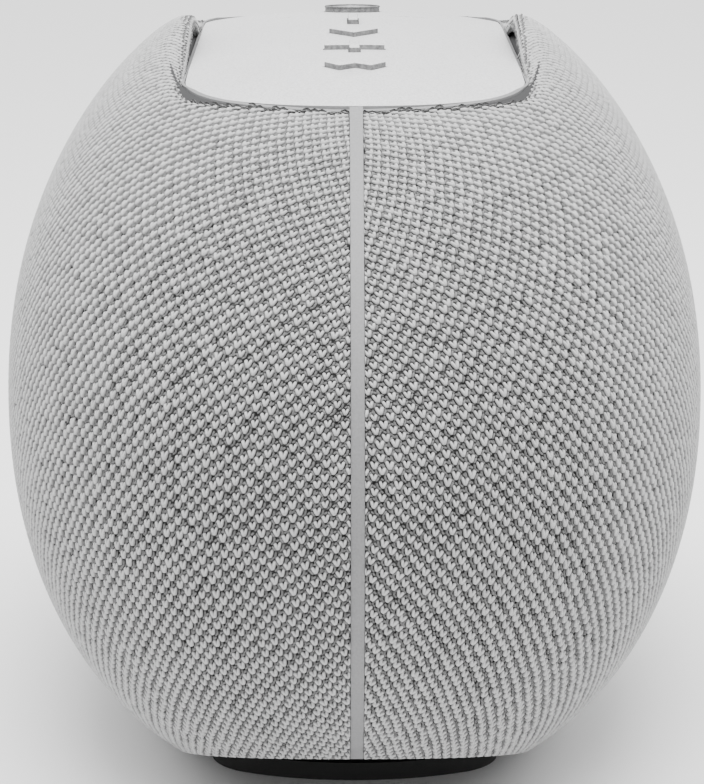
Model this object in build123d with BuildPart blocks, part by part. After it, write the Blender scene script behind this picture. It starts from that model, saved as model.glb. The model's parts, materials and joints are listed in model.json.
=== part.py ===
"""Smart speaker: a wide pill-shaped fabric body on an oval rubber foot.

Lengths are millimetres. +X is the long way, -Y the listener's side and +Z up.
The origin lies on the ground under the body's centre.
"""
import os
from math import copysign, cos, pi, sin

from build123d import *

os.makedirs("parts", exist_ok=True)

# Body envelope: horizontal sections are superellipses that shrink with height.
half_length = 184.5
half_depth = 100.0
half_height = 116.7
plan_power = 2.43
rise_power = 2.11
centre_z = 103.4
loft_levels = [-104, -90, -72, -50, -25, 0, 25, 50, 72, 90, 104]
section_points = 32

# Skins, counted inwards from the envelope.
fabric_thickness = 1.8
skin_gap = 0.3
housing_thickness = 3.0
seam_width = 3.4
seam_recess = 0.5
seam_gap = 0.3

# Top of the body: the skins are turned down into the opening along a flared rim.
rim_height = 198.9
rim_slope = 45.0
rim_flare = 14.0

# Bottom of the body: level under the middle and raked up to the ends.
belly_height = 5.4
belly_flat = 140.0
belly_rake = 16.5
belly_reach = 160.0

# Opening for the top controls: straight sides closed by wide arcs.
well_half_length = 117.4
well_half_width = 47.5
well_end_radius = 56.3
well_corner = 45.0
well_gap = 0.3
well_wall = 0.8
well_ledge = 5.0
well_floor = 182.0
well_floor_thickness = 2.0

# Control panel: level along the middle, arched towards the ends and crowned across.
panel_top = 201.0
panel_flat = 90.0
panel_arch_radius = 463.0
panel_thickness = 3.0
panel_margin = 1.1
panel_crown_radius = 280.0

# Keys: raised symbols that pass through the panel.
key_names = ["assistant", "volume_down", "play", "volume_up", "pairing"]
key_pitch = 36.0
key_size = 17.0
key_rise = 1.5
key_bar = 2.9
key_gap = 0.3
key_travel = 0.6
key_flange = 1.2
key_flange_margin = 1.0
key_stem_radius = 2.4
key_rest_gap = 0.1
switch_size = 6.2
switch_height = 2.6
switch_button = 0.8
board_thickness = 1.6
key_board_width = 34.0
key_board_corner = 3.0
microphone_length = 4.0
microphone_width = 3.0
microphone_height = 1.1
microphone_y = 10.0
board_post_radius = 2.5
board_post_pitch = 26.0

# Loudspeakers.
baffle_y = 50.0
baffle_thickness = 4.0
woofer_x = 60.0
woofer_z = 95.0
woofer_flange_radius = 46.5
woofer_hole_radius = 40.5
woofer_cone_radius = 33.0
woofer_coil_radius = 12.0
woofer_depth = 42.0
woofer_magnet_radius = 29.0
woofer_travel = 4.0
woofer_flange = 2.5
woofer_roll = 5.5
woofer_frame_wall = 1.6
woofer_screw_head_radius = 2.4
woofer_screw_head = 1.6
coil_wall = 0.8
coil_gap = 1.2
pole_plate = 4.0
magnet_depth = 16.0
spider_thickness = 0.6
tweeter_x = 131.0
tweeter_flange_radius = 21.0
tweeter_body_radius = 15.0
tweeter_dome_radius = 10.0
tweeter_depth = 20.0
radiator_radius = 40.0
radiator_z = 112.0
radiator_roll = 8.0
moving_gap = 0.4

# Connector recess in the back.
recess_z = 45.0
recess_width = 74.0
recess_height = 28.0
recess_wall = 1.6
recess_floor_y = 72.0
recess_floor = 2.5
inlet_x = -20.0
inlet_width = 19.0
inlet_height = 12.0
inlet_mouth_width = 14.6
inlet_mouth_height = 8.2
inlet_depth = 16.0
inlet_back_wall = 2.0
inlet_stand = 0.5
inlet_pin_pitch = 8.6
inlet_pin_radius = 1.2
inlet_pin_length = 11.0
port_x = 4.0
port_width = 7.8
port_height = 3.0
port_depth = 6.0
port_wall = 0.4
mute_x = 24.0
mute_radius = 4.5
mute_travel = 0.6
mute_rise = 1.4
mute_edge = 0.5
mute_stem_radius = 1.6
mute_stem_length = 1.6
rear_board_x = 18.0
rear_board_length = 38.0
rear_board_height = 22.0

# Power supply on the base and main board under the well.
electronics_post_radius = 3.0
power_post_length = 8.0
power_board_y = -8.0
power_board_size = (110.0, 50.0)
power_post_pitch = (96.0, 34.0)
transformer_x = -12.0
transformer_size = (30.0, 26.0, 22.0)
capacitor_spots = [(24.0, -18.0), (24.0, 0.0), (42.0, -18.0)]
capacitor_radius = 7.5
capacitor_height = 24.0
main_board_z = 152.0
main_board_y = 8.0
main_board_size = (124.0, 60.0)
main_post_pitch = (110.0, 46.0)
chip_spots = [(-34.0, 4.0), (-10.0, 12.0), (18.0, -2.0)]
chip_size = 14.0
chip_height = 1.8
sink_x = 30.0
sink_size = (46.0, 40.0)
sink_plate = 3.0
fin_count = 9
fin_pitch = 5.0
fin_thickness = 1.6
fin_height = 9.0

# Base.
belly_recess = 1.0
base_thickness = 3.0
foot_half_length = 82.0
foot_half_width = 41.0
foot_end_radius = 72.0
foot_corner = 18.0
foot_step = 8.0
screw_pitch = (120.0, 60.0)
screw_head_radius = 3.0
screw_head = 2.0
screw_well_gap = 0.6

skin_inset = fabric_thickness + skin_gap
shell_inset = skin_inset + housing_thickness
inner_inset = shell_inset + skin_gap
belly_turn = belly_flat / 2
reach = 400.0
under_panel = 150.0
over_top = 230.0
socket_cut = 20.0
above_crown = 40.0
well_outline = (well_half_length, well_half_width, well_end_radius, well_corner)
foot_outline = (foot_half_length, foot_half_width, foot_end_radius, foot_corner)


def signed_power(value, power):
    return copysign(abs(value) ** (2 / power), value)


def section(inset, level):
    """Points of the horizontal section at a level, for a skin set in by inset."""
    shrink = (1 - (abs(level) / (half_height - inset)) ** rise_power) ** (1 / rise_power)
    turns = [2 * pi * step / section_points for step in range(section_points)]
    return [
        (
            (half_length - inset) * shrink * signed_power(cos(turn), plan_power),
            (half_depth - inset) * shrink * signed_power(sin(turn), plan_power),
        )
        for turn in turns
    ]


def oval(end_x, half_width, end_radius, corner, inset):
    """Oval sketch with straight sides and wide end arcs, drawn in by inset."""
    side = (end_radius**2 - half_width**2) ** 0.5 + end_x - end_radius
    with BuildSketch() as outline:
        with BuildLine():
            near = ThreePointArc((side, -half_width), (end_x, 0), (side, half_width))
            far = ThreePointArc((-side, half_width), (-end_x, 0), (-side, -half_width))
            Line(near @ 1, far @ 0)
            Line(far @ 1, near @ 0)
        make_face()
        fillet(outline.vertices(), radius=corner)
        if inset:
            offset(amount=-inset, mode=Mode.REPLACE)
    return outline.sketch


def oval_prism(outline, inset, low, high):
    """Upright prism on an oval, drawn in by inset."""
    with BuildPart() as solid:
        with BuildSketch(Plane.XY.offset(low)):
            add(oval(*outline, inset))
        extrude(amount=high - low)
    return solid.part


def well_prism(inset, low, high):
    """Upright prism on the outline of the top opening, drawn in by inset."""
    return oval_prism(well_outline, inset, low, high)


def flare(inset):
    """Funnel over the top opening that turns a skin set in by inset down into it."""
    low = rim_height - inset / cos(rim_slope * pi / 180)
    with BuildPart() as solid:
        with BuildSketch(Plane.XY.offset(low)):
            add(oval(*well_outline, 0))
        extrude(amount=rim_flare, taper=-rim_slope)
    return solid.part


def envelope(inset):
    """Solid inside the skin that is set in by inset."""
    with BuildPart() as solid:
        for level in loft_levels:
            with BuildSketch(Plane.XY.offset(centre_z + level)):
                with BuildLine():
                    Spline(section(inset, level), periodic=True)
                make_face()
        loft()
        add(flare(inset), mode=Mode.SUBTRACT)
    return solid.part


def below_belly(offset):
    """Everything under the belly raised by offset."""
    level = belly_height + offset
    rise = (belly_reach - belly_turn) * sin(belly_rake * pi / 180) / cos(belly_rake * pi / 180)
    with BuildPart() as solid:
        with BuildSketch(Plane.XZ.offset(-reach / 2)):
            with BuildLine():
                Polyline(
                    (0, level),
                    (belly_turn, level),
                    (belly_reach, level + rise),
                    (reach, level + rise),
                    (reach, -reach),
                    (0, -reach),
                    (0, level),
                )
            make_face()
            mirror(about=Plane.YZ)
        extrude(amount=reach)
    return solid.part


def crown_layer(low, high, half_width):
    """Layer between the panel's crowned top moved by low and the same moved by high."""
    start = Plane.YZ.offset(panel_flat / 2)
    axis = Axis((panel_flat / 2, 0, panel_top - panel_arch_radius), (0, 1, 0))
    with BuildPart() as solid:
        for sketch_plane in (start, Plane.YZ):
            with BuildSketch(sketch_plane):
                with Locations((0, panel_top - panel_crown_radius)):
                    Circle(panel_crown_radius + high)
                    Circle(panel_crown_radius + low, mode=Mode.SUBTRACT)
                with Locations((0, panel_top)):
                    Rectangle(2 * half_width, panel_crown_radius, mode=Mode.INTERSECT)
            if sketch_plane is start:
                revolve(axis=axis, revolution_arc=20)
            else:
                extrude(amount=panel_flat / 2)
        mirror(about=Plane.YZ)
    return solid.part


def save(builder, name):
    builder.part.label = name
    export_step(builder.part, f"parts/{name}.step")


def ring(plane_x, plane_z, pieces, name):
    """Body turned about a line along Y through (plane_x, plane_z); pieces are (radius, y) outlines."""
    origin = Plane(origin=(plane_x, 0, plane_z), x_dir=(1, 0, 0), z_dir=(0, 0, 1))
    with BuildPart() as turned:
        for outline in pieces:
            with BuildSketch(origin):
                with BuildLine():
                    Polyline(*outline, close=True)
                make_face()
            revolve(axis=Axis((plane_x, 0, plane_z), (0, 1, 0)))
    save(turned, name)


outer = envelope(0)
under_fabric = envelope(fabric_thickness)
over_housing = envelope(skin_inset)
under_housing = envelope(shell_inset)
inside = envelope(inner_inset)
well_hole = well_prism(0, under_panel, over_top)
belly_cut = below_belly(0)
recess_hole_width = recess_width + 2 * skin_gap
recess_hole_height = recess_height + 2 * skin_gap

fabric_seam = seam_width / 2 + seam_gap


def half_skin(outer_blank, inner_blank, direction):
    """Front or rear half of the skin between two blanks, open at the top, below and at the sockets."""
    with BuildPart() as skin:
        add(outer_blank)
        add(inner_blank, mode=Mode.SUBTRACT)
        add(well_hole, mode=Mode.SUBTRACT)
        add(belly_cut, mode=Mode.SUBTRACT)
        with Locations((0, direction * (reach / 2 + fabric_seam), centre_z)):
            Box(2 * reach, reach, reach, mode=Mode.INTERSECT)
        if direction > 0:
            with Locations((0, half_depth, recess_z)):
                Box(recess_hole_width, half_depth, recess_hole_height, mode=Mode.SUBTRACT)
    return skin.part


# Fabric and housing halves; the seam bands lie between them at both ends.
front_grilles = [
    (-woofer_x, woofer_z, woofer_cone_radius),
    (woofer_x, woofer_z, woofer_cone_radius),
    (-tweeter_x, woofer_z, tweeter_dome_radius),
    (tweeter_x, woofer_z, tweeter_dome_radius),
]
rear_grilles = [(0, radiator_z, radiator_radius)]
for side, direction, grilles in (("front", -1, front_grilles), ("rear", 1, rear_grilles)):
    with BuildPart() as fabric:
        add(half_skin(outer, under_fabric, direction))
    save(fabric, f"{side}_fabric")

    with BuildPart() as housing:
        add(half_skin(over_housing, under_housing, direction))
        for spot_x, spot_z, spot_radius in grilles:
            slot_pitch = spot_radius / 3
            for row in (-2, -1, 0, 1, 2):
                slot_length = 2 * (spot_radius**2 - (row * slot_pitch) ** 2) ** 0.5
                with Locations((spot_x, direction * half_depth, spot_z + row * slot_pitch)):
                    Box(slot_length, half_depth, slot_pitch / 2, mode=Mode.SUBTRACT)
    save(housing, f"{side}_housing")

# Seam bands: one at each end, from the top opening to the belly.
band_outer = envelope(seam_recess)
for side, direction in (("left", -1), ("right", 1)):
    with BuildPart() as band:
        add(band_outer)
        add(under_housing, mode=Mode.SUBTRACT)
        add(well_hole, mode=Mode.SUBTRACT)
        add(belly_cut, mode=Mode.SUBTRACT)
        with Locations((direction * (reach / 2 + belly_turn), 0, centre_z)):
            Box(reach, seam_width, reach, mode=Mode.INTERSECT)
    save(band, f"seam_band_{side}")

# Well: wall, ledge under the panel's edge, and floor.
wall_inner = well_gap + well_wall
ledge_inner = wall_inner + well_ledge
panel_inset = wall_inner + panel_margin - well_wall
with BuildPart() as well:
    add(well_prism(well_gap, well_floor - well_floor_thickness, over_top))
    add(well_prism(wall_inner, well_floor, over_top), mode=Mode.SUBTRACT)
    add(flare(0), mode=Mode.SUBTRACT)
    add(under_fabric, mode=Mode.INTERSECT)
save(well, "top_well")

with BuildPart() as ledge:
    add(well_prism(wall_inner + skin_gap, well_floor, over_top))
    add(well_prism(ledge_inner, well_floor, over_top), mode=Mode.SUBTRACT)
    add(crown_layer(-panel_thickness, above_crown, reach), mode=Mode.SUBTRACT)
    add(under_housing, mode=Mode.INTERSECT)
save(ledge, "panel_ledge")

# Control panel with one opening per key.
key_places = {name: (order - 2) * key_pitch for order, name in enumerate(key_names)}


def key_outline(name, grow):
    """Sketch outline of a key's symbol, grown all round by grow."""
    half = key_size / 2
    bar = key_bar / 2
    if name == "assistant":
        Circle(half + grow)
    elif name == "play":
        Polygon((-half * 0.55, -half * 0.86), (half * 0.75, 0), (-half * 0.55, half * 0.86), align=None)
        if grow:
            offset(amount=grow, kind=Kind.INTERSECTION, mode=Mode.REPLACE)
    elif name == "volume_down":
        Rectangle(key_size + 2 * grow, key_bar + 2 * grow)
    elif name == "volume_up":
        Rectangle(key_size + 2 * grow, key_bar + 2 * grow)
        Rectangle(key_bar + 2 * grow, key_size + 2 * grow)
    else:
        Polygon(
            (-bar, -half),
            (half * 0.5, -half / 2),
            (bar * 0.6, 0),
            (half * 0.5, half / 2),
            (-bar, half),
            align=None,
        )
        if grow:
            offset(amount=grow, kind=Kind.INTERSECTION, mode=Mode.REPLACE)


with BuildPart() as panel:
    add(well_prism(panel_inset, under_panel, over_top))
    add(crown_layer(-panel_thickness, 0, well_half_width), mode=Mode.INTERSECT)
    for key_name, key_x in key_places.items():
        with BuildSketch(Plane((key_x, 0, under_panel))):
            key_outline(key_name, key_gap)
        extrude(amount=over_top - under_panel, mode=Mode.SUBTRACT)
save(panel, "top_panel")

# Keys: symbol above, flange and stem below the panel.
flange_drop = (key_pitch * 2 + key_size / 2 - panel_flat / 2) ** 2 / (2 * panel_arch_radius)
flange_width = key_size + 2 * key_flange_margin
flange_top = panel_top - panel_thickness - flange_drop - (flange_width / 2) ** 2 / 2 / panel_crown_radius
flange_top -= key_rest_gap
stem_bottom = flange_top - key_flange - key_travel - 1.0
key_cap_cut = crown_layer(key_rise, above_crown, reach)
for key_name, key_x in key_places.items():
    with BuildPart() as key:
        with BuildSketch(Plane((key_x, 0, flange_top))):
            key_outline(key_name, 0)
        extrude(amount=above_crown)
        add(key_cap_cut, mode=Mode.SUBTRACT)
        with BuildSketch(Plane((key_x, 0, flange_top - key_flange))):
            RectangleRounded(flange_width, flange_width, 2)
        extrude(amount=key_flange)
        with BuildSketch(Plane((key_x, 0, stem_bottom))):
            Circle(key_stem_radius)
        extrude(amount=flange_top - stem_bottom)
    save(key, f"key_{key_name}")

# Key board under the keys: switches, board and microphones.
switch_top = stem_bottom - key_travel - key_rest_gap
board_top = switch_top - switch_height
board_half_length = key_pitch * 2 + key_size
with BuildPart() as switches:
    for key_x in key_places.values():
        with BuildSketch(Plane((key_x, 0, board_top))):
            RectangleRounded(switch_size, switch_size, 0.6)
        extrude(amount=switch_height - switch_button)
        with BuildSketch(Plane((key_x, 0, switch_top - switch_button))):
            Circle(switch_size / 4)
        extrude(amount=switch_button)
save(switches, "key_switches")

with BuildPart() as key_board:
    with BuildSketch(Plane.XY.offset(board_top - board_thickness)):
        RectangleRounded(2 * board_half_length, key_board_width, key_board_corner)
    extrude(amount=board_thickness)
save(key_board, "key_board")

mic_x = key_pitch * 1.5
with BuildPart() as microphones:
    with BuildSketch(Plane.XY.offset(board_top)):
        with Locations((-mic_x, microphone_y), (mic_x, microphone_y)):
            Rectangle(microphone_length, microphone_width)
    extrude(amount=microphone_height)
save(microphones, "microphones")

post_height = board_top - board_thickness - well_floor
with BuildPart() as board_posts:
    with BuildSketch(Plane.XY.offset(well_floor)):
        with GridLocations(key_pitch * 4, board_post_pitch, 2, 2):
            Circle(board_post_radius)
    extrude(amount=post_height)
save(board_posts, "board_posts")

# Baffles that carry the loudspeakers, one for the front and one for the back.
base_top = below_belly(belly_recess + base_thickness + skin_gap)
well_under = well_prism(-1.0, well_floor - well_floor_thickness - skin_gap, over_top)
front_holes = [(-woofer_x, woofer_z, woofer_hole_radius), (woofer_x, woofer_z, woofer_hole_radius)]
front_holes += [(-tweeter_x, woofer_z, tweeter_body_radius + skin_gap)]
front_holes += [(tweeter_x, woofer_z, tweeter_body_radius + skin_gap)]
radiator_hole = radiator_radius + radiator_roll + 2 * moving_gap
for side, direction, holes in (
    ("front", -1, front_holes),
    ("rear", 1, [(0, radiator_z, radiator_hole)]),
):
    with BuildPart() as baffle:
        add(inside)
        add(base_top, mode=Mode.SUBTRACT)
        add(well_under, mode=Mode.SUBTRACT)
        with Locations((0, direction * (baffle_y - baffle_thickness / 2), centre_z)):
            Box(reach, baffle_thickness, reach, mode=Mode.INTERSECT)
        for hole_x, hole_z, hole_radius in holes:
            with BuildSketch(Plane((hole_x, 0, hole_z), x_dir=(1, 0, 0), z_dir=(0, direction, 0))):
                Circle(hole_radius)
            extrude(amount=reach, mode=Mode.SUBTRACT)
    save(baffle, f"{side}_baffle")

# Woofers and tweeters face the listener.
front = -baffle_y
flange = woofer_flange
back = front + woofer_depth
magnet_front = back - magnet_depth
coil_outer = woofer_coil_radius + coil_wall
roll_seat = woofer_cone_radius + woofer_roll
for side, direction in (("left", -1), ("right", 1)):
    x = direction * woofer_x
    frame_neck = woofer_magnet_radius - 4.0
    ring(
        x,
        woofer_z,
        [
            [
                (roll_seat, front - flange),
                (woofer_flange_radius, front - flange),
                (woofer_flange_radius, front),
                (woofer_hole_radius - skin_gap, front),
                (frame_neck, magnet_front - woofer_frame_wall),
                (frame_neck, magnet_front),
                (woofer_coil_radius + 4, magnet_front),
                (woofer_coil_radius + 4, magnet_front - woofer_frame_wall),
                (frame_neck - woofer_frame_wall, magnet_front - woofer_frame_wall),
                (roll_seat, front),
            ]
        ],
        f"woofer_frame_{side}",
    )
    slot_inner = woofer_coil_radius - coil_gap
    slot_outer = coil_outer + coil_gap
    ring(
        x,
        woofer_z,
        [
            [
                (0, magnet_front),
                (slot_inner, magnet_front),
                (slot_inner, back - pole_plate),
                (slot_outer, back - pole_plate),
                (slot_outer, magnet_front),
                (woofer_magnet_radius, magnet_front),
                (woofer_magnet_radius, back),
                (0, back),
            ]
        ],
        f"woofer_magnet_{side}",
    )
    cone_back = magnet_front - woofer_travel - 6.0
    cone_rim = front - flange + 0.5
    coil_back = back - pole_plate - woofer_travel - 1.0
    ring(
        x,
        woofer_z,
        [
            [
                (woofer_cone_radius - 1.5, cone_rim),
                (woofer_cone_radius, cone_rim),
                (woofer_cone_radius, cone_rim + 1.2),
                (coil_outer, cone_back),
                (coil_outer, coil_back),
                (woofer_coil_radius, coil_back),
                (woofer_coil_radius, cone_back - 1.5),
            ]
        ],
        f"woofer_cone_{side}",
    )
    cap_edge = cone_back - 1.5
    ring(
        x,
        woofer_z,
        [
            [
                (0, cap_edge - 4.0),
                (woofer_coil_radius * 0.5, cap_edge - 3.0),
                (woofer_coil_radius, cap_edge),
                (woofer_coil_radius * 0.5, cap_edge - 2.2),
                (0, cap_edge - 3.2),
            ]
        ],
        f"dust_cap_{side}",
    )
    roll_inner = woofer_cone_radius + moving_gap
    roll_outer = roll_seat - skin_gap
    roll_middle = (roll_inner + roll_outer) / 2
    ring(
        x,
        woofer_z,
        [
            [
                (roll_inner, cone_rim),
                (roll_inner + 0.8, cone_rim - 1.6),
                (roll_middle, cone_rim - 2.4),
                (roll_outer - 0.8, cone_rim - 1.6),
                (roll_outer, cone_rim),
                (roll_outer, cone_rim + 0.7),
                (roll_middle, cone_rim - 1.5),
                (roll_inner, cone_rim + 0.7),
            ]
        ],
        f"woofer_surround_{side}",
    )
    spider_y = magnet_front - woofer_frame_wall - skin_gap
    ring(
        x,
        woofer_z,
        [
            [
                (coil_outer + moving_gap, spider_y - spider_thickness),
                (frame_neck - woofer_frame_wall - 1, spider_y - spider_thickness),
                (frame_neck - woofer_frame_wall - 1, spider_y),
                (coil_outer + moving_gap, spider_y),
            ]
        ],
        f"woofer_spider_{side}",
    )

    x = direction * tweeter_x
    tweeter_back = front + tweeter_depth
    ring(
        x,
        woofer_z,
        [
            [
                (tweeter_dome_radius + moving_gap, front - flange),
                (tweeter_flange_radius, front - flange),
                (tweeter_flange_radius, front),
                (tweeter_body_radius, front),
                (tweeter_body_radius, tweeter_back),
                (0, tweeter_back),
                (0, front + 4.0),
                (tweeter_dome_radius + moving_gap, front + 4.0),
            ]
        ],
        f"tweeter_body_{side}",
    )
    ring(
        x,
        woofer_z,
        [
            [
                (0, front - 2.4),
                (tweeter_dome_radius * 0.6, front - 1.2),
                (tweeter_dome_radius, front + 1.6),
                (tweeter_dome_radius, front + 2.6),
                (tweeter_dome_radius * 0.5, front + 1.0),
                (0, front),
            ]
        ],
        f"tweeter_dome_{side}",
    )

# Passive radiator in the back.
rear_face = baffle_y
ring(
    0,
    radiator_z,
    [
        [
            (radiator_hole, rear_face - baffle_thickness),
            (radiator_hole + 6, rear_face - baffle_thickness),
            (radiator_hole + 6, rear_face - baffle_thickness - 2),
            (radiator_hole - 2, rear_face - baffle_thickness - 2),
            (radiator_hole - 2, rear_face + 1),
            (radiator_hole - skin_gap, rear_face + 1),
            (radiator_hole - skin_gap, rear_face - baffle_thickness),
        ]
    ],
    "radiator_frame",
)
roll_inner = radiator_radius + moving_gap
roll_outer = radiator_hole - 2 - skin_gap
roll_middle = (roll_inner + roll_outer) / 2
ring(
    0,
    radiator_z,
    [
        [
            (roll_inner, rear_face - 1.0),
            (roll_inner, rear_face),
            (roll_middle, rear_face + 3.0),
            (roll_outer, rear_face),
            (roll_outer, rear_face - 1.0),
            (roll_middle, rear_face + 2.0),
        ]
    ],
    "radiator_surround",
)
ring(
    0,
    radiator_z,
    [
        [
            (0, rear_face - 2.0),
            (radiator_radius, rear_face - 2.0),
            (radiator_radius, rear_face),
            (0, rear_face),
        ]
    ],
    "radiator_plate",
)

# Connector recess in the back, with its sockets and the mute key.
with BuildPart() as connector_panel:
    with Locations((0, recess_floor_y + half_depth / 2, recess_z)):
        Box(recess_width, half_depth, recess_height)
    with Locations((0, recess_floor_y + recess_floor + half_depth / 2, recess_z)):
        Box(
            recess_width - 2 * recess_wall,
            half_depth,
            recess_height - 2 * recess_wall,
            mode=Mode.SUBTRACT,
        )
    add(outer, mode=Mode.INTERSECT)
    with Locations((inlet_x, recess_floor_y, recess_z)):
        Box(inlet_width + 2 * skin_gap, socket_cut, inlet_height + 2 * skin_gap, mode=Mode.SUBTRACT)
    with Locations((port_x, recess_floor_y, recess_z)):
        Box(port_width + 2 * skin_gap, socket_cut, port_height + 2 * skin_gap, mode=Mode.SUBTRACT)
    with BuildSketch(Plane((mute_x, 0, recess_z), x_dir=(1, 0, 0), z_dir=(0, 1, 0))):
        Circle(mute_radius + key_gap)
    extrude(amount=half_depth, mode=Mode.SUBTRACT)
save(connector_panel, "connector_panel")

inlet_face = recess_floor_y + recess_floor + inlet_stand
inlet_back = inlet_face - inlet_depth
inlet_middle = (inlet_back + inlet_face) / 2
with BuildPart() as inlet:
    with Locations((inlet_x, inlet_middle, recess_z)):
        Box(inlet_width, inlet_depth, inlet_height)
    with Locations((inlet_x, inlet_middle + inlet_back_wall, recess_z)):
        Box(inlet_mouth_width, inlet_depth, inlet_mouth_height, mode=Mode.SUBTRACT)
save(inlet, "power_inlet")

with BuildPart() as inlet_pins:
    pin_seat = Plane((inlet_x, inlet_back + inlet_back_wall, recess_z), x_dir=(1, 0, 0), z_dir=(0, 1, 0))
    with BuildSketch(pin_seat):
        with GridLocations(inlet_pin_pitch, 0, 2, 1):
            Circle(inlet_pin_radius)
    extrude(amount=inlet_pin_length)
save(inlet_pins, "inlet_pins")

with BuildPart() as port:
    with Locations((port_x, recess_floor_y, recess_z)):
        Box(port_width, port_depth, port_height)
    with Locations((port_x, recess_floor_y + 1.0, recess_z)):
        Box(port_width - 2 * port_wall, port_depth, port_height - 2 * port_wall, mode=Mode.SUBTRACT)
save(port, "service_port")

mute_face = recess_floor_y + recess_floor + mute_rise
mute_flange_back = recess_floor_y - key_rest_gap - key_flange
mute_stem_end = mute_flange_back - mute_stem_length
ring(
    mute_x,
    recess_z,
    [
        [
            (0, mute_face),
            (mute_radius - mute_edge, mute_face),
            (mute_radius, mute_face - mute_edge),
            (mute_radius, mute_flange_back + key_flange),
            (mute_radius + 1.5, mute_flange_back + key_flange),
            (mute_radius + 1.5, mute_flange_back),
            (mute_stem_radius, mute_flange_back),
            (mute_stem_radius, mute_stem_end),
            (0, mute_stem_end),
        ]
    ],
    "mute_key",
)
mute_switch_face = mute_stem_end - mute_travel - key_rest_gap
with BuildPart() as mute_switch:
    with Locations((mute_x, mute_switch_face - switch_height / 2, recess_z)):
        Box(switch_size, switch_height, switch_size)
save(mute_switch, "mute_switch")

rear_board_face = mute_switch_face - switch_height
with BuildPart() as rear_board:
    with Locations((rear_board_x, rear_board_face - board_thickness / 2, recess_z)):
        Box(rear_board_length, board_thickness, rear_board_height)
save(rear_board, "rear_board")

# Electronics on the base and under the well.
base_upper = belly_height + belly_recess + base_thickness
power_board_z = base_upper + power_post_length
with BuildPart() as power_posts:
    with BuildSketch(Plane.XY.offset(base_upper)):
        with Locations((0, power_board_y)):
            with GridLocations(*power_post_pitch, 2, 2):
                Circle(electronics_post_radius)
    extrude(amount=power_post_length)
save(power_posts, "power_posts")

with BuildPart() as power_board:
    with Locations((0, power_board_y, power_board_z + board_thickness / 2)):
        Box(*power_board_size, board_thickness)
save(power_board, "power_board")

power_top = power_board_z + board_thickness
with BuildPart() as transformer:
    with Locations((transformer_x, power_board_y, power_top + transformer_size[2] / 2)):
        Box(*transformer_size)
save(transformer, "transformer")

with BuildPart() as capacitors:
    with BuildSketch(Plane.XY.offset(power_top)):
        with Locations(*capacitor_spots):
            Circle(capacitor_radius)
    extrude(amount=capacitor_height)
save(capacitors, "capacitors")

main_post_length = well_floor - well_floor_thickness - main_board_z - board_thickness
with BuildPart() as main_posts:
    with BuildSketch(Plane.XY.offset(main_board_z + board_thickness)):
        with Locations((0, main_board_y)):
            with GridLocations(*main_post_pitch, 2, 2):
                Circle(electronics_post_radius)
    extrude(amount=main_post_length)
save(main_posts, "main_board_posts")

with BuildPart() as main_board:
    with Locations((0, main_board_y, main_board_z + board_thickness / 2)):
        Box(*main_board_size, board_thickness)
save(main_board, "main_board")

with BuildPart() as chips:
    with BuildSketch(Plane.XY.offset(main_board_z + board_thickness)):
        with Locations(*chip_spots):
            Rectangle(chip_size, chip_size)
    extrude(amount=chip_height)
save(chips, "main_chips")

with BuildPart() as heat_sink:
    with Locations((sink_x, main_board_y, main_board_z - sink_plate / 2)):
        Box(*sink_size, sink_plate)
    with BuildSketch(Plane.XY.offset(main_board_z - sink_plate)):
        with Locations((sink_x, main_board_y)):
            with GridLocations(fin_pitch, 0, fin_count, 1):
                Rectangle(fin_thickness, sink_size[1])
    extrude(amount=-fin_height)
save(heat_sink, "heat_sink")

# Base plate, foot and screws.
above_base = inside - below_belly(belly_recess + base_thickness)
with BuildPart() as base_plate:
    add(inside)
    add(below_belly(belly_recess), mode=Mode.SUBTRACT)
    add(above_base, mode=Mode.SUBTRACT)
save(base_plate, "base_plate")

with BuildPart() as foot:
    add(oval_prism(foot_outline, 0, 0, belly_height - skin_gap))
    add(oval_prism(foot_outline, foot_step, 0, belly_height + belly_recess))
    with BuildSketch(Plane.XY):
        with GridLocations(*screw_pitch, 2, 2):
            Circle(screw_head_radius + screw_well_gap)
    extrude(amount=belly_height + belly_recess, mode=Mode.SUBTRACT)
save(foot, "rubber_foot")

with BuildPart() as base_screws:
    head_z = belly_height + belly_recess
    with BuildSketch(Plane.XY.offset(head_z - screw_head)):
        with GridLocations(*screw_pitch, 2, 2):
            Circle(screw_head_radius)
    extrude(amount=screw_head)
save(base_screws, "base_screws")

with BuildPart() as woofer_screws:
    for x in (-woofer_x, woofer_x):
        with BuildSketch(Plane((x, front - flange, woofer_z), x_dir=(1, 0, 0), z_dir=(0, -1, 0))):
            with PolarLocations(woofer_flange_radius - 3.0, 4, start_angle=45):
                Circle(woofer_screw_head_radius)
        extrude(amount=woofer_screw_head)
save(woofer_screws, "woofer_screws")
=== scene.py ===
"""Looks of the smart speaker: knitted cover, control panel, keys, seam bands, foot and studio."""

import json
from math import cos, pi, radians, sin

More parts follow.
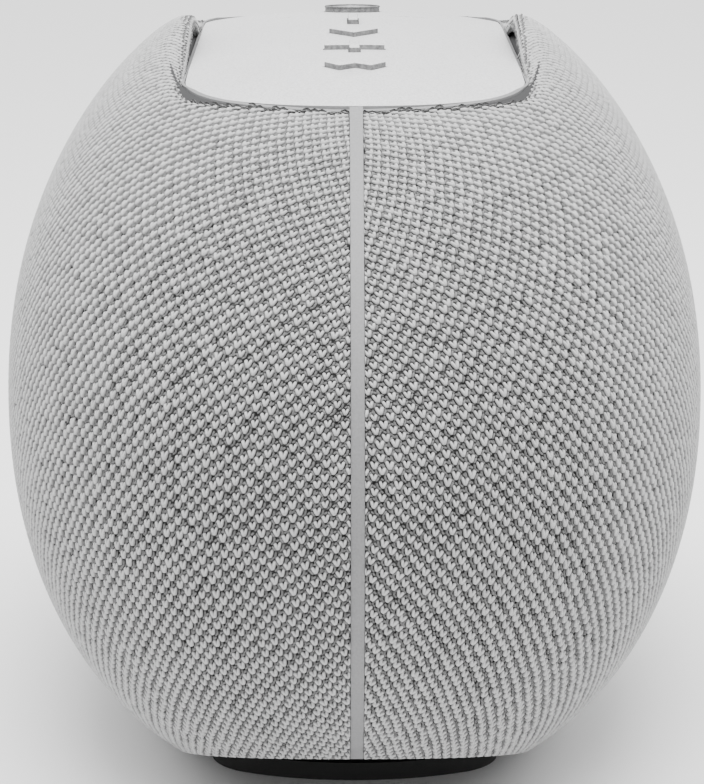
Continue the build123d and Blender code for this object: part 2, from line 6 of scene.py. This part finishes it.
import bmesh
import bpy
import numpy as np
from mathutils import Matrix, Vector


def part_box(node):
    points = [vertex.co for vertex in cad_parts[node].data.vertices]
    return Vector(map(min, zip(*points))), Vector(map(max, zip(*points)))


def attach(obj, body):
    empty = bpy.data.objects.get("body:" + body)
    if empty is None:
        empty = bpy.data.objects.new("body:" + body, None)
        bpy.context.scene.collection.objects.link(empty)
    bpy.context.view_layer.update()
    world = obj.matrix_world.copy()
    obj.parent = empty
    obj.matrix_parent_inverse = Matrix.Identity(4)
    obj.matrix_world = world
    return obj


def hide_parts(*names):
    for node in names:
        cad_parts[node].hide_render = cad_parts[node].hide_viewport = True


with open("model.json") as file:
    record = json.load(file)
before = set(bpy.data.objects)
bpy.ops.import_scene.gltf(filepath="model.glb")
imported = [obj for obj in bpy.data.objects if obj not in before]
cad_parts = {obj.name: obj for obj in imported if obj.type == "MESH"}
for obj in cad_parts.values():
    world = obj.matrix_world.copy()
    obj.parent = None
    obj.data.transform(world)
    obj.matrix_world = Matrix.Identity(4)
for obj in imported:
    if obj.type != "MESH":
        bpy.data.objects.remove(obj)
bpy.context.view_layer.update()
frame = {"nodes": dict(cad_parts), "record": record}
scene = bpy.context.scene
MM = 0.001

# The body's rounded envelope, in millimetres: length and depth come from the frame's boxes.
# A higher power squares the outline up, in the plan and up the sides.
low, high = [np.array(corner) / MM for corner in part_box("front_fabric")]
HALF_LENGTH = (high[0] - low[0]) / 2
HALF_DEPTH = -low[1]
HALF_HEIGHT = 116.7
PLAN_POWER = 2.43
RISE_POWER = 2.11
CENTRE_Z = 103.4
SEAM_HALF = -high[1]

# Knit layout. Wales run upwards and courses run round; rises count from the body's middle.
WALE_STEP = 2.05
COURSE_STEP_SEAM = 3.2
COURSE_STEP_GAIN = 1.3
COURSE_STEP_REACH = 60.0
LOWEST_RISE = -104.0
HIGHEST_RISE = 111.0
RISE_STEP = 0.8
SEAM_TUCK = 0.3
SEAM_OVERLAP = 0.2
BELLY_TUCK = 0.8
EDGE_OVERLAP = 0.4
NEUTRAL_RISE = 8.0
CLOSING_RATE = 0.0105
SHOULDER_RISE = 51.0
SHOULDER_REACH = 34.0
SHOULDER_CLOSING = 0.57
LEAN_RATE = 0.13
LEAN_REACH = 25.0
KNIT_BACK = 0.9
INDEX_NUDGE = 0.1
SHARE_NUDGE = 0.002
LEAST_STEP = 0.01


def shrink(rise, inset=0.0):
    """Share of the full section left at a height above the body's middle."""
    share = np.clip(1 - (np.abs(rise) / (HALF_HEIGHT - inset)) ** RISE_POWER, 0, 1)
    return share ** (1 / RISE_POWER)


def contour_table(count=4001):
    """Quarter of the plan outline from the middle of the front to the seam, by arc length."""
    turn = np.linspace(0, pi / 2, count)
    across = HALF_LENGTH * np.sin(turn) ** (2 / PLAN_POWER)
    deep = HALF_DEPTH * np.cos(turn) ** (2 / PLAN_POWER)
    steps = np.hypot(np.diff(across), np.diff(deep))
    arc = np.concatenate([[0], np.cumsum(steps)])
    return arc / arc[-1], across, deep, arc[-1]


ARC, ACROSS, DEEP, QUARTER = contour_table()


def skin_point(share, rise, side, inset=0.0):
    """Point of the skin at a signed share of the way to the seam; side is -1 front, 1 rear."""
    size = shrink(rise, inset)
    part = np.clip(np.abs(share), 0, 1)
    grow_x = (HALF_LENGTH - inset) / HALF_LENGTH
    grow_y = (HALF_DEPTH - inset) / HALF_DEPTH
    x = np.sign(share) * np.interp(part, ARC, ACROSS) * size * grow_x
    y = side * np.interp(part, ARC, DEEP) * size * grow_y
    return np.stack([x, y, rise + CENTRE_Z], -1)


def unit(vector):
    """Vectors brought to length one."""
    return vector / np.linalg.norm(vector, axis=-1, keepdims=True)


# The top opening, where the cover rolls over a soft lip and down a wall.
well_high = np.array(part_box("top_well")[1]) / MM
WELL_CLEARANCE = 0.3
WELL_LENGTH = well_high[0] + WELL_CLEARANCE
WELL_WIDTH = well_high[1] + WELL_CLEARANCE
WELL_RADIUS = 56.3
WELL_BLEND = 4.0
ROLL_SIDE = 6.0
ROLL_END = 1.2
RIDGE_DROP = 3.7
RIDGE_REACH = 95.0
RIDGE_FADE = 6.3
END_SINK = 1.9
END_SINK_REACH = 7.0
WALL_SHARE = 0.57
WALL_SIDE = 3.4
WALL_END = 0.8
LIP_TUCK = 1.2
LIP_TUCK_START = -0.2
FAR_AWAY = 99.0

# The rear recess, which the rear half leaves open.
RECESS_HALF = 37.3
RECESS_LOW = 30.7
RECESS_HIGH = 59.3

# The cover's lower edge: level in the middle, rising towards both ends.
BELLY_HEIGHT = low[2]
BELLY_TURN = 70.0
BELLY_RAKE = 16.5


def well_gap(point):
    """Plan distance outside the top opening, in millimetres; negative over the opening."""
    x, y = np.abs(point[..., 0]), np.abs(point[..., 1])
    beside = y - WELL_WIDTH
    beyond = np.hypot(np.clip(x - (WELL_LENGTH - WELL_RADIUS), 0, None), y) - WELL_RADIUS
    gap = (beside + beyond + np.sqrt((beside - beyond) ** 2 + WELL_BLEND**2)) / 2
    return np.where(point[..., 2] > CENTRE_Z, gap, FAR_AWAY)


def roll_over(point):
    """The skin turned down into the top opening, and the length of wall left below each point."""
    gap = well_gap(point)
    outside = np.clip(gap, 0, FAR_AWAY)
    step = 0.05
    to_x = (well_gap(point + [step, 0, 0]) - well_gap(point - [step, 0, 0])) / (2 * step)
    to_y = (well_gap(point + [0, step, 0]) - well_gap(point - [0, step, 0])) / (2 * step)
    along_side = np.clip(np.abs(to_y), 0, 1) ** 4
    radius = ROLL_END + (ROLL_SIDE - ROLL_END) * along_side
    ridge = np.sin(pi * np.clip(np.abs(point[..., 0]) / RIDGE_REACH, 0, 1)) ** 2
    turn = np.clip((radius - gap) / radius, 0, None)
    bend = np.minimum(turn, pi / 2)
    shift = np.where(turn > 0, radius * (1 - np.sin(bend)) - gap, 0)
    drop = radius * (1 - np.cos(bend)) + radius * (turn - bend)
    drop += RIDGE_DROP * ridge * along_side * np.exp(-((outside / RIDGE_FADE) ** 2))
    drop += END_SINK * (1 - along_side) * np.exp(-outside / END_SINK_REACH)
    moved = point + np.stack([to_x * shift, to_y * shift, -drop], -1)
    return moved, gap + WALL_SHARE * radius + WALL_END + (WALL_SIDE - WALL_END) * along_side


def recess_reach(x, z):
    """How far places lie outside the rear recess: sideways, and up or down."""
    return np.abs(x) - RECESS_HALF, np.maximum(RECESS_LOW - z, z - RECESS_HIGH)


def belly_bottom(x):
    """Height of the cover's lower edge."""
    run = np.clip(np.abs(x) - BELLY_TURN, 0, None)
    return BELLY_HEIGHT + run * np.tan(radians(BELLY_RAKE))


def seam_share(rise):
    """Share at which the cover reaches the seam."""
    return 1 - SEAM_TUCK / (QUARTER * shrink(rise))


def closing(rise):
    """How fast the wales run out at the seam, in millimetres per millimetre of height."""
    crowding = np.clip(rise - SHOULDER_RISE, 0, None) / SHOULDER_REACH
    return CLOSING_RATE * (rise - NEUTRAL_RISE) + SHOULDER_CLOSING * crowding**2


def wale_girth(rises):
    """Length of stitches left between the middle and the seam at each height."""
    rate = closing(rises) / (QUARTER * shrink(rises))
    total = np.cumsum(rate) * (rises[1] - rises[0])
    return QUARTER * np.exp(np.interp(NEUTRAL_RISE, rises, total) - total)


def wale_lean(rises):
    """Sideways drift of the wales, the same way round on both halves."""
    return LEAN_RATE * LEAN_REACH * np.log(np.cosh((rises - NEUTRAL_RISE) / LEAN_REACH))


def wale_seats(side):
    """Stitch seats along every wale: point, up, across, normal, course step, random draws."""
    seats = []
    rng = np.random.default_rng(7 + side)
    rises = np.arange(LOWEST_RISE, HIGHEST_RISE, RISE_STEP)
    girth = wale_girth(rises)
    drift = wale_lean(rises) * girth / (QUARTER * shrink(rises))
    count = int(QUARTER / WALE_STEP) + 4
    for order in range(-count, count + 1):
        share = (order * WALE_STEP + side * drift) / girth
        keep = np.abs(share) < seam_share(rises)
        if keep.sum() < 3:
            continue
        point = skin_point(share, rises, side)
        steps = np.maximum(np.linalg.norm(np.diff(point, axis=0), axis=1), LEAST_STEP)
        to_seam = QUARTER * np.clip(1 - np.abs(share), 0, None) * shrink(rises)
        course = COURSE_STEP_SEAM + COURSE_STEP_GAIN * (1 - np.exp(-to_seam / COURSE_STEP_REACH))
        index = np.concatenate([[0], np.cumsum(steps / ((course[1:] + course[:-1]) / 2))])
        index -= np.interp(NEUTRAL_RISE, rises, index)
        first, last = index[keep].min(), index[keep].max()
        stagger = 0.5 * (order % 2)
        marks = np.arange(np.ceil(first - stagger), np.floor(last - stagger) + 1) + stagger
        if not len(marks):
            continue
        seat_rise = np.interp(marks, index, rises)
        seat_share = np.interp(marks, index, share)
        seat, over_wall = roll_over(skin_point(seat_share, seat_rise, side))
        later_share = np.interp(marks + INDEX_NUDGE, index, share)
        later_rise = np.interp(marks + INDEX_NUDGE, index, rises)
        ahead, _ = roll_over(skin_point(later_share, later_rise, side))
        inwards = np.where(seat_share < 0, SHARE_NUDGE, -SHARE_NUDGE)
        beside, _ = roll_over(skin_point(seat_share + inwards, seat_rise, side))
        up = unit(ahead - seat)
        outwards = -np.sign(inwards)[:, None] * (seat - beside)
        normal = unit(-side * np.cross(outwards, up))
        across = -side * np.cross(up, normal)
        step = np.interp(marks, index, course)
        inside = np.abs(seat_share) < seam_share(seat_rise)
        inside &= over_wall > 0
        inside &= seat[:, 2] > belly_bottom(seat[:, 0]) - BELLY_TUCK
        if side > 0:
            beyond, above = recess_reach(seat[:, 0], seat[:, 2])
            inside &= np.maximum(beyond, above) > -EDGE_OVERLAP
        cell = rng.normal(0, 1, (len(marks), 4))
        rows = (seat, up, across, normal, step[:, None], cell)
        seats.append([row[inside] for row in rows])
    return [np.concatenate(rows) for rows in zip(*seats)]


# One stitch: two bright lobes and four duller strands around them. Each row has the foot, the
# head, the half width, the crest and the brightness, in shares of the stitch. The brightness is
# painted shade: the strands that lie deeper are drawn duller.
STRANDS = (
    ((0.03, -0.44), (-0.34, 0.30), 0.20, 1.00, 1.00),
    ((-0.02, -0.44), (0.27, 0.40), 0.17, 0.95, 1.00),
    ((0.42, -0.46), (0.56, 0.20), 0.12, 0.36, 0.30),
    ((-0.16, 0.34), (0.16, 0.60), 0.11, 0.35, 0.34),
    ((-0.58, -0.02), (-0.22, -0.52), 0.11, 0.40, 0.40),
    ((0.10, -0.55), (0.46, -0.30), 0.10, 0.34, 0.34),
)
STITCH_WIDTH = 2.75
STITCH_RISE = 2.60
STITCH_CREST = 0.85
STITCH_SINK = 0.35
STITCH_UNEVEN = 0.05
TONE_UNEVEN = 0.07
ALONG = np.array([0.0, 0.16, 0.5, 0.84, 1.0])
OVER = np.array([-1.0, -0.45, 0.45, 1.0])


def stitch_shape():
    """Vertices (across, up, out), faces and brightness of one stitch; the brightness is painted
    shade.
    """
    points, faces, painted_shades = [], [], []
    for foot, head, half, crest, shade_and_tone in STRANDS:
        start = len(points)
        axis = np.array(head) - np.array(foot)
        sideways = np.array([axis[1], -axis[0]]) / np.linalg.norm(axis)
        for along in ALONG:
            inner = 0 < along < 1
            swell = 0.35 + 0.65 * np.sqrt(max(1 - abs(2 * along - 1) ** 2.4, 0.0)) if inner else 0.3
            fall = 1.0 - 0.4 * along**2.2
            for over in OVER:
                spot = np.array(foot) + along * axis + sideways * over * half * swell
                dome = np.sqrt(max(1 - over**2, 0.0))
                out = crest * fall * dome * swell - 0.25 - (0.0 if inner else 0.45)
                points.append((spot[0], spot[1], out))
                # Painted shade: each vertex darkens the deeper it sits below its strand's crest.
                painted_shades.append(shade_and_tone * np.clip((out + 0.55) / (0.9 * crest), 0, 1))
        width = len(OVER)
        for row in range(len(ALONG) - 1):
            for column in range(width - 1):
                corner = start + row * width + column
                faces.append((corner, corner + 1, corner + width + 1, corner + width))
    return np.array(points), np.array(faces), np.array(painted_shades)


def mesh_from(name, points, faces):
    """Smooth mesh object from arrays of points in millimetres and quads."""
    mesh = bpy.data.meshes.new(name)
    mesh.vertices.add(len(points))
    mesh.vertices.foreach_set("co", (points * MM).astype(np.float32).ravel())
    mesh.loops.add(faces.size)
    mesh.loops.foreach_set("vertex_index", faces.astype(np.int32).ravel())
    mesh.polygons.add(len(faces))
    size = faces.shape[1]
    mesh.polygons.foreach_set("loop_start", np.arange(0, faces.size, size, dtype=np.int32))
    mesh.update(calc_edges=True)
    mesh.polygons.foreach_set("use_smooth", np.full(len(faces), True))
    mesh.validate()
    thing = bpy.data.objects.new(name, mesh)
    scene.collection.objects.link(thing)
    return thing


def point_values(mesh, name, values):
    """One number for each vertex, for a material to read."""
    layer = mesh.attributes.new(name, "FLOAT", "POINT")
    layer.data.foreach_set("value", values.astype(np.float32))


# Materials -------------------------------------------------------------------

class Nodes:
    """Short hand for building one node material."""

    def __init__(self, name):
        self.material = bpy.data.materials.new(name)
        self.material.use_nodes = True
        self.tree = self.material.node_tree
        self.shader = self.tree.nodes["Principled BSDF"]
        self.place = self.tree.nodes.new("ShaderNodeTexCoord").outputs["Object"]

    def add(self, kind, links=None, **values):
        node = self.tree.nodes.new(kind)
        for key, value in values.items():
            if key in node.inputs:
                node.inputs[key].default_value = value
            else:
                setattr(node, key, value)
        for key, source in (links or {}).items():
            self.tree.links.new(source, node.inputs[key])
        return node

    def link(self, source, target):
        self.tree.links.new(source, self.shader.inputs[target])

    def noise(self, scale, detail=3.0, roughness=0.55):
        node = self.add("ShaderNodeTexNoise", {"Vector": self.place}, Scale=scale, Detail=detail)
        node.inputs["Roughness"].default_value = roughness
        return node.outputs["Fac"]

    def ramp(self, source, *stops):
        node = self.add("ShaderNodeValToRGB", {"Fac": source})
        while len(node.color_ramp.elements) < len(stops):
            node.color_ramp.elements.new(0.5)
        for element, (spot, shade) in zip(node.color_ramp.elements, stops):
            element.position = spot
            element.color = (*shade, 1) if isinstance(shade, tuple) else (shade, shade, shade, 1)
        return node.outputs["Color"]

    def multiply(self, first, second):
        node = self.tree.nodes.new("ShaderNodeMix")
        node.data_type = "RGBA"
        node.blend_type = "MULTIPLY"
        node.inputs[0].default_value = 1.0
        self.tree.links.new(first, node.inputs[6])
        self.tree.links.new(second, node.inputs[7])
        return node.outputs[2]

    def bump(self, source, strength, distance):
        node = self.add("ShaderNodeBump", {"Height": source}, Strength=strength, Distance=distance)
        self.link(node.outputs["Normal"], "Normal")

    def finish(self, **values):
        for key, value in values.items():
            self.shader.inputs[key.replace("_", " ")].default_value = value
        return self.material


SPECKLE_SCALE = 1900.0


def plastic(name, dark, light, roughness, grain=1800.0, bump=0.12, speckle=1.0):
    """Moulded plastic with a fine grain and slight unevenness."""
    kit = Nodes(name)
    broad = kit.noise(14.0, 2.0)
    fine = kit.noise(grain, 2.0, 0.6)
    shade = kit.ramp(fine, (0.32, dark), (0.68, light))
    shade = kit.multiply(shade, kit.ramp(broad, (0.3, 0.94), (0.7, 1.0)))
    if speckle < 1.0:
        dots = kit.noise(SPECKLE_SCALE, 1.0, 0.5)
        shade = kit.multiply(shade, kit.ramp(dots, (0.34, speckle), (0.5, 1.0)))
    kit.link(shade, "Base Color")
    kit.link(kit.ramp(fine, (0.3, roughness - 0.06), (0.7, roughness + 0.06)), "Roughness")
    kit.bump(fine, bump, 0.0001)
    return kit.finish(Specular_IOR_Level=0.45)


def knit_yarn(name):
    """Light grey yarn with painted shade: paler on the crests, darker where the strands dive."""
    kit = Nodes(name)
    shade_and_tone = kit.add("ShaderNodeAttribute", attribute_name="shade_and_tone").outputs["Fac"]
    fibre = kit.noise(3200.0, 3.0, 0.7)
    cloud = kit.noise(26.0, 2.0)
    # Painted shade: the stored per-vertex value darkens the yarn down each strand and on the duller
    # strands.
    shade = kit.ramp(shade_and_tone, (0.0, 0.045), (0.3, 0.16), (0.55, 0.32), (0.95, 0.57))
    shade = kit.multiply(shade, kit.ramp(fibre, (0.3, 0.62), (0.7, 1.0)))
    kit.link(kit.multiply(shade, kit.ramp(cloud, (0.3, 0.92), (0.7, 1.0))), "Base Color")
    kit.bump(fibre, 0.35, 0.0002)
    return kit.finish(Roughness=0.92, Specular_IOR_Level=0.2, Sheen_Weight=0.2, Sheen_Roughness=0.5)


def knit_ground_shade(name):
    """Ground yarn that shows between the stitches, painted dark as the shade between them."""
    kit = Nodes(name)
    fibre = kit.noise(1100.0, 3.0, 0.7)
    # Painted shade: the ground is kept far darker than the yarn on the stitches.
    kit.link(kit.ramp(fibre, (0.35, 0.012), (0.52, 0.05), (0.7, 0.16)), "Base Color")
    kit.bump(fibre, 0.8, 0.0004)
    return kit.finish(Roughness=0.95, Specular_IOR_Level=0.15)


YARN = knit_yarn("knit_yarn")
GROUND_SHADE = knit_ground_shade("knit_ground_shade")


GROUND_ROWS = np.concatenate([np.linspace(-99.0, 80.0, 100), np.linspace(80.8, 110.0, 74)])
GROUND_COLUMNS = np.linspace(-1, 1, 321)


def ground_sheet(side):
    """The cover's shaded ground, as points and faces, with its edges turned in; its darkness is
    painted shade.
    """
    reach = 1 - SEAM_HALF / (QUARTER * shrink(GROUND_ROWS))
    share = GROUND_COLUMNS[None, :] * reach[:, None]
    rise = GROUND_ROWS[:, None] + 0 * share
    sheet, over_wall = roll_over(skin_point(share, rise, side, KNIT_BACK))
    sheet[..., 2] = np.maximum(sheet[..., 2], belly_bottom(sheet[..., 0]))
    grid = np.arange(share.size).reshape(share.shape)
    quads = np.stack([grid[:-1, :-1], grid[:-1, 1:], grid[1:, 1:], grid[1:, :-1]], -1).reshape(-1, 4)
    points = sheet.reshape(-1, 3)
    keep = over_wall.reshape(-1)[quads].min(axis=1) > -EDGE_OVERLAP
    if side > 0:
        middle = points[quads].mean(axis=1)
        beyond, above = recess_reach(middle[:, 0], middle[:, 2])
        keep &= np.maximum(beyond, above) >= 0
    quads = quads[keep]
    used, renumbered = np.unique(quads, return_inverse=True)
    return points[used], renumbered.reshape(-1, 4)


def out_of_recess(points):
    """Move the vertices that reach into the rear recess to its nearest edge."""
    beyond, above = recess_reach(points[:, 0], points[:, 2])
    caught = (beyond < 0) & (above < 0)
    by_side = caught & (beyond > above)
    points[by_side, 0] = np.sign(points[by_side, 0]) * RECESS_HALF
    by_top = caught & ~by_side
    middle = (RECESS_LOW + RECESS_HIGH) / 2
    points[by_top, 2] = np.where(points[by_top, 2] > middle, RECESS_HIGH, RECESS_LOW)


def knitted_cover(side, name):
    """One half of the cover: stitches standing on a ground sheet painted dark as shade."""
    seat, up, across, normal, step, chance = wale_seats(side)
    shape, quads, painted_shades = stitch_shape()
    count = len(seat)
    size = 1 + STITCH_UNEVEN * chance[:, 0:1]
    wide = STITCH_WIDTH * size
    tall = STITCH_RISE * size * step / COURSE_STEP_SEAM
    local = shape[None]
    right = (local[:, :, 0:1] + STITCH_UNEVEN * chance[:, None, 1:2]) * wide[:, None]
    ahead = (local[:, :, 1:2] + STITCH_UNEVEN * chance[:, None, 2:3]) * tall[:, None]
    out = local[:, :, 2:3] * STITCH_CREST - STITCH_SINK
    points = seat[:, None] + across[:, None] * right + up[:, None] * ahead + normal[:, None] * out
    points = points.reshape(-1, 3)
    points[:, 1] = side * np.maximum(side * points[:, 1], SEAM_HALF - SEAM_OVERLAP)
    points[:, 2] -= LIP_TUCK * np.clip(LIP_TUCK_START - well_gap(points), 0, None)
    points[:, 2] = np.maximum(points[:, 2], belly_bottom(points[:, 0]))
    if side > 0:
        out_of_recess(points)
    faces = (quads[None] + (np.arange(count) * len(shape))[:, None, None]).reshape(-1, 4)
    ground, ground_faces = ground_sheet(side)
    joined = np.concatenate([points, ground])
    cover = mesh_from(name, joined, np.concatenate([faces, ground_faces + len(points)]))
    # Painted shade of the stitch shape, with a random tone change from stitch to stitch.
    shade_and_tone = (painted_shades[None] * (1 + TONE_UNEVEN * chance[:, 3:4])).reshape(-1)
    point_values(cover.data, "shade_and_tone", np.concatenate([shade_and_tone, np.zeros(len(ground))]))
    cover.data.materials.append(YARN)
    cover.data.materials.append(GROUND_SHADE)
    slots = np.concatenate([np.zeros(len(faces), int), np.ones(len(ground_faces), int)])
    cover.data.polygons.foreach_set("material_index", slots.astype(np.int32))
    return cover


for half_side, half in ((-1, "front"), (1, "rear")):
    cover = knitted_cover(half_side, f"{half}_knit")
    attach(cover, "cabinet")
    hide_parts(f"{half}_fabric")


# Finishes of the carried-over pieces -----------------------------------------

FINISHES = {
    "panel": plastic("panel_grey", (0.56, 0.56, 0.565), (0.66, 0.66, 0.665), 0.5, 1100.0, 0.4, 0.80),
    "trim": plastic("trim_grey_and_panel_edge_shade", (0.19, 0.19, 0.193), (0.23, 0.23, 0.233), 0.6),
    "housing": plastic("housing_black", (0.015, 0.015, 0.016), (0.03, 0.03, 0.032), 0.6),
    "dark": plastic("dark_plastic", (0.015, 0.015, 0.016), (0.028, 0.028, 0.03), 0.5),
    "rubber": plastic("foot_rubber", (0.016, 0.016, 0.016), (0.026, 0.026, 0.026), 0.8),
    "switch": plastic("switch_plastic", (0.02, 0.02, 0.022), (0.04, 0.04, 0.042), 0.4),
    "board": plastic("board_green", (0.01, 0.07, 0.03), (0.02, 0.11, 0.05), 0.35),
    "cone": plastic("cone_pulp", (0.01, 0.01, 0.01), (0.03, 0.03, 0.03), 0.75),
    "cloth": plastic("spider_cloth", (0.30, 0.20, 0.08), (0.42, 0.30, 0.14), 0.9),
    "metal": plastic("bright_metal", (0.55, 0.55, 0.56), (0.66, 0.66, 0.67), 0.35),
    "steel": plastic("black_steel", (0.02, 0.02, 0.02), (0.035, 0.035, 0.035), 0.45),
    "magnet": plastic("plated_steel", (0.28, 0.28, 0.29), (0.36, 0.36, 0.37), 0.35),
}
for slot_name in ("metal", "magnet"):
    FINISHES[slot_name].node_tree.nodes["Principled BSDF"].inputs["Metallic"].default_value = 1.0
for entry in frame["record"]["subparts"]:
    thing = bpy.data.objects.get(entry["node"])
    finish = FINISHES.get(entry["material_slot"])
    if thing is None or finish is None:
        continue
    if not thing.material_slots:
        thing.data.materials.append(finish)
    for place in thing.material_slots:
        place.material = finish

# Panel and keys with softened edges ------------------------------------------

# Painted shade: the keys' side walls are their own grey plastic, drawn darker.
KEY_WALL_SHADE = plastic("key_wall_painted_shade", (0.10, 0.10, 0.102), (0.22, 0.22, 0.222), 0.45, 900.0, 0.4)
RING_TOP = plastic("ring_gloss", (0.42, 0.42, 0.425), (0.48, 0.48, 0.485), 0.16, 1800.0, 0.03)
UPPER_BAND = 0.0012
WELD = 2e-6
FLAT_ANGLE = radians(1.5)
SHARP_ANGLE = radians(40)


def softened(node, name, body, edge, wall, top=None, dish=0.0):
    """The CAD piece's form with rounded edges: upper faces in one finish, walls in a darker one as
    painted shade.
    """
    shape = bmesh.new()
    shape.from_mesh(frame["nodes"][node].data)
    bmesh.ops.remove_doubles(shape, verts=shape.verts, dist=WELD)
    bmesh.ops.dissolve_limit(shape, angle_limit=FLAT_ANGLE, verts=shape.verts, edges=shape.edges)
    sharp = [
        line for line in shape.edges
        if len(line.link_faces) == 2 and line.calc_face_angle(0) > SHARP_ANGLE
    ]
    bmesh.ops.bevel(
        shape, geom=sharp, offset=edge, segments=3, profile=0.5, affect="EDGES", clamp_overlap=True
    )
    ceiling = max(spot.co.z for spot in shape.verts)
    upper = [
        face for face in shape.faces
        if face.normal.z > 0.9 and face.calc_center_median().z > ceiling - UPPER_BAND
    ]
    if dish:
        bmesh.ops.inset_region(shape, faces=upper, thickness=0.0007, depth=0.0)
        bmesh.ops.inset_region(shape, faces=upper, thickness=0.0006, depth=-dish)
    for face in shape.faces:
        face.smooth = True
        # Painted shade: faces that do not face upwards take the darker wall finish.
        face.material_index = 0 if face.normal.z > 0.6 else 1
    mesh = bpy.data.meshes.new(name)
    shape.to_mesh(mesh)
    shape.free()
    piece = bpy.data.objects.new(name, mesh)
    scene.collection.objects.link(piece)
    mesh.materials.append(top or FINISHES["panel"])
    mesh.materials.append(wall)
    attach(piece, body)
    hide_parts(node)


# Painted shade: the panel's edge walls take the darker trim grey.
softened("top_panel", "panel_cap", "cabinet", 0.0018, FINISHES["trim"])
softened("key_assistant", "assistant_cap", "assistant_key", 0.0004, KEY_WALL_SHADE, RING_TOP, 0.0004)
for key in ("volume_down", "play", "volume_up", "pairing"):
    softened(f"key_{key}", f"{key}_cap", f"{key}_key", 0.0004, KEY_WALL_SHADE)

# Studio ----------------------------------------------------------------------

FOCUS_PX = 3345.0
FRAME_PX = 784.0
CAMERA_DISTANCE = 1.0
SENSOR_MM = 36.0
CAMERA_RISE = radians(12.0)
CAMERA_SWING = radians(-0.33)
DROP_PX = 31.7
ASIDE_PX = 1.6

camera_data = bpy.data.cameras.new("camera")
camera = bpy.data.objects.new("camera", camera_data)
scene.collection.objects.link(camera)
target = Vector((0, 0, CENTRE_Z * MM))
level = cos(CAMERA_RISE)
camera.location = target + CAMERA_DISTANCE * Vector(
    (level * cos(CAMERA_SWING), level * sin(CAMERA_SWING), sin(CAMERA_RISE))
)
camera.rotation_euler = (target - camera.location).to_track_quat("-Z", "Y").to_euler()
camera_data.sensor_width = SENSOR_MM
camera_data.lens = FOCUS_PX / FRAME_PX * SENSOR_MM
camera_data.shift_x = -ASIDE_PX / FRAME_PX
camera_data.shift_y = -DROP_PX / FRAME_PX
camera_data.clip_start = 0.01
scene.camera = camera


def floor():
    """Pale ground, painted darker towards the camera as shade on the floor in front."""
    mesh = bpy.data.meshes.new("floor")
    span = 6.0
    corners = [(-span, -span, 0), (span, -span, 0), (span, span, 0), (-span, span, 0)]
    mesh.from_pydata(corners, [], [(0, 1, 2, 3)])
    thing = bpy.data.objects.new("floor", mesh)
    scene.collection.objects.link(thing)
    kit = Nodes("floor_with_painted_shade")
    apart = kit.add("ShaderNodeSeparateXYZ", {"Vector": kit.place}).outputs["X"]
    # Painted shade: the floor darkens from white behind the speaker to grey towards the camera.
    kit.link(kit.ramp(apart, (0.15, 0.88), (0.45, 0.38)), "Base Color")
    thing.data.materials.append(kit.finish(Roughness=0.9, Specular_IOR_Level=0.1))


def soft_light(name, place, size, power, aim=(0, 0, 0.1)):
    """Round area light turned towards the speaker."""
    data = bpy.data.lights.new(name, "AREA")
    data.shape = "DISK"
    data.size = size
    data.energy = power
    lamp = bpy.data.objects.new(name, data)
    scene.collection.objects.link(lamp)
    lamp.location = place
    lamp.rotation_euler = (Vector(aim) - Vector(place)).to_track_quat("-Z", "Y").to_euler()


def soft_sky(horizon, full_rise, strength):
    """Surroundings that grow paler from the horizon up."""
    world = bpy.data.worlds.new("world")
    world.use_nodes = True
    sky = world.node_tree.nodes
    links = world.node_tree.links
    split = sky.new("ShaderNodeSeparateXYZ")
    links.new(sky.new("ShaderNodeTexCoord").outputs["Generated"], split.inputs["Vector"])
    fade = sky.new("ShaderNodeValToRGB")
    links.new(split.outputs["Z"], fade.inputs["Fac"])
    fade.color_ramp.elements[0].color = (horizon, horizon, horizon, 1)
    fade.color_ramp.elements[1].position = full_rise
    links.new(fade.outputs["Color"], sky["Background"].inputs["Color"])
    sky["Background"].inputs["Strength"].default_value = strength
    scene.world = world


floor()
soft_light("top_light", (0.25, 0.0, 1.5), 1.2, 34)
soft_light("end_light", (1.4, 0.0, 1.5), 0.8, 19)
soft_sky(0.20, 0.75, 2.3)
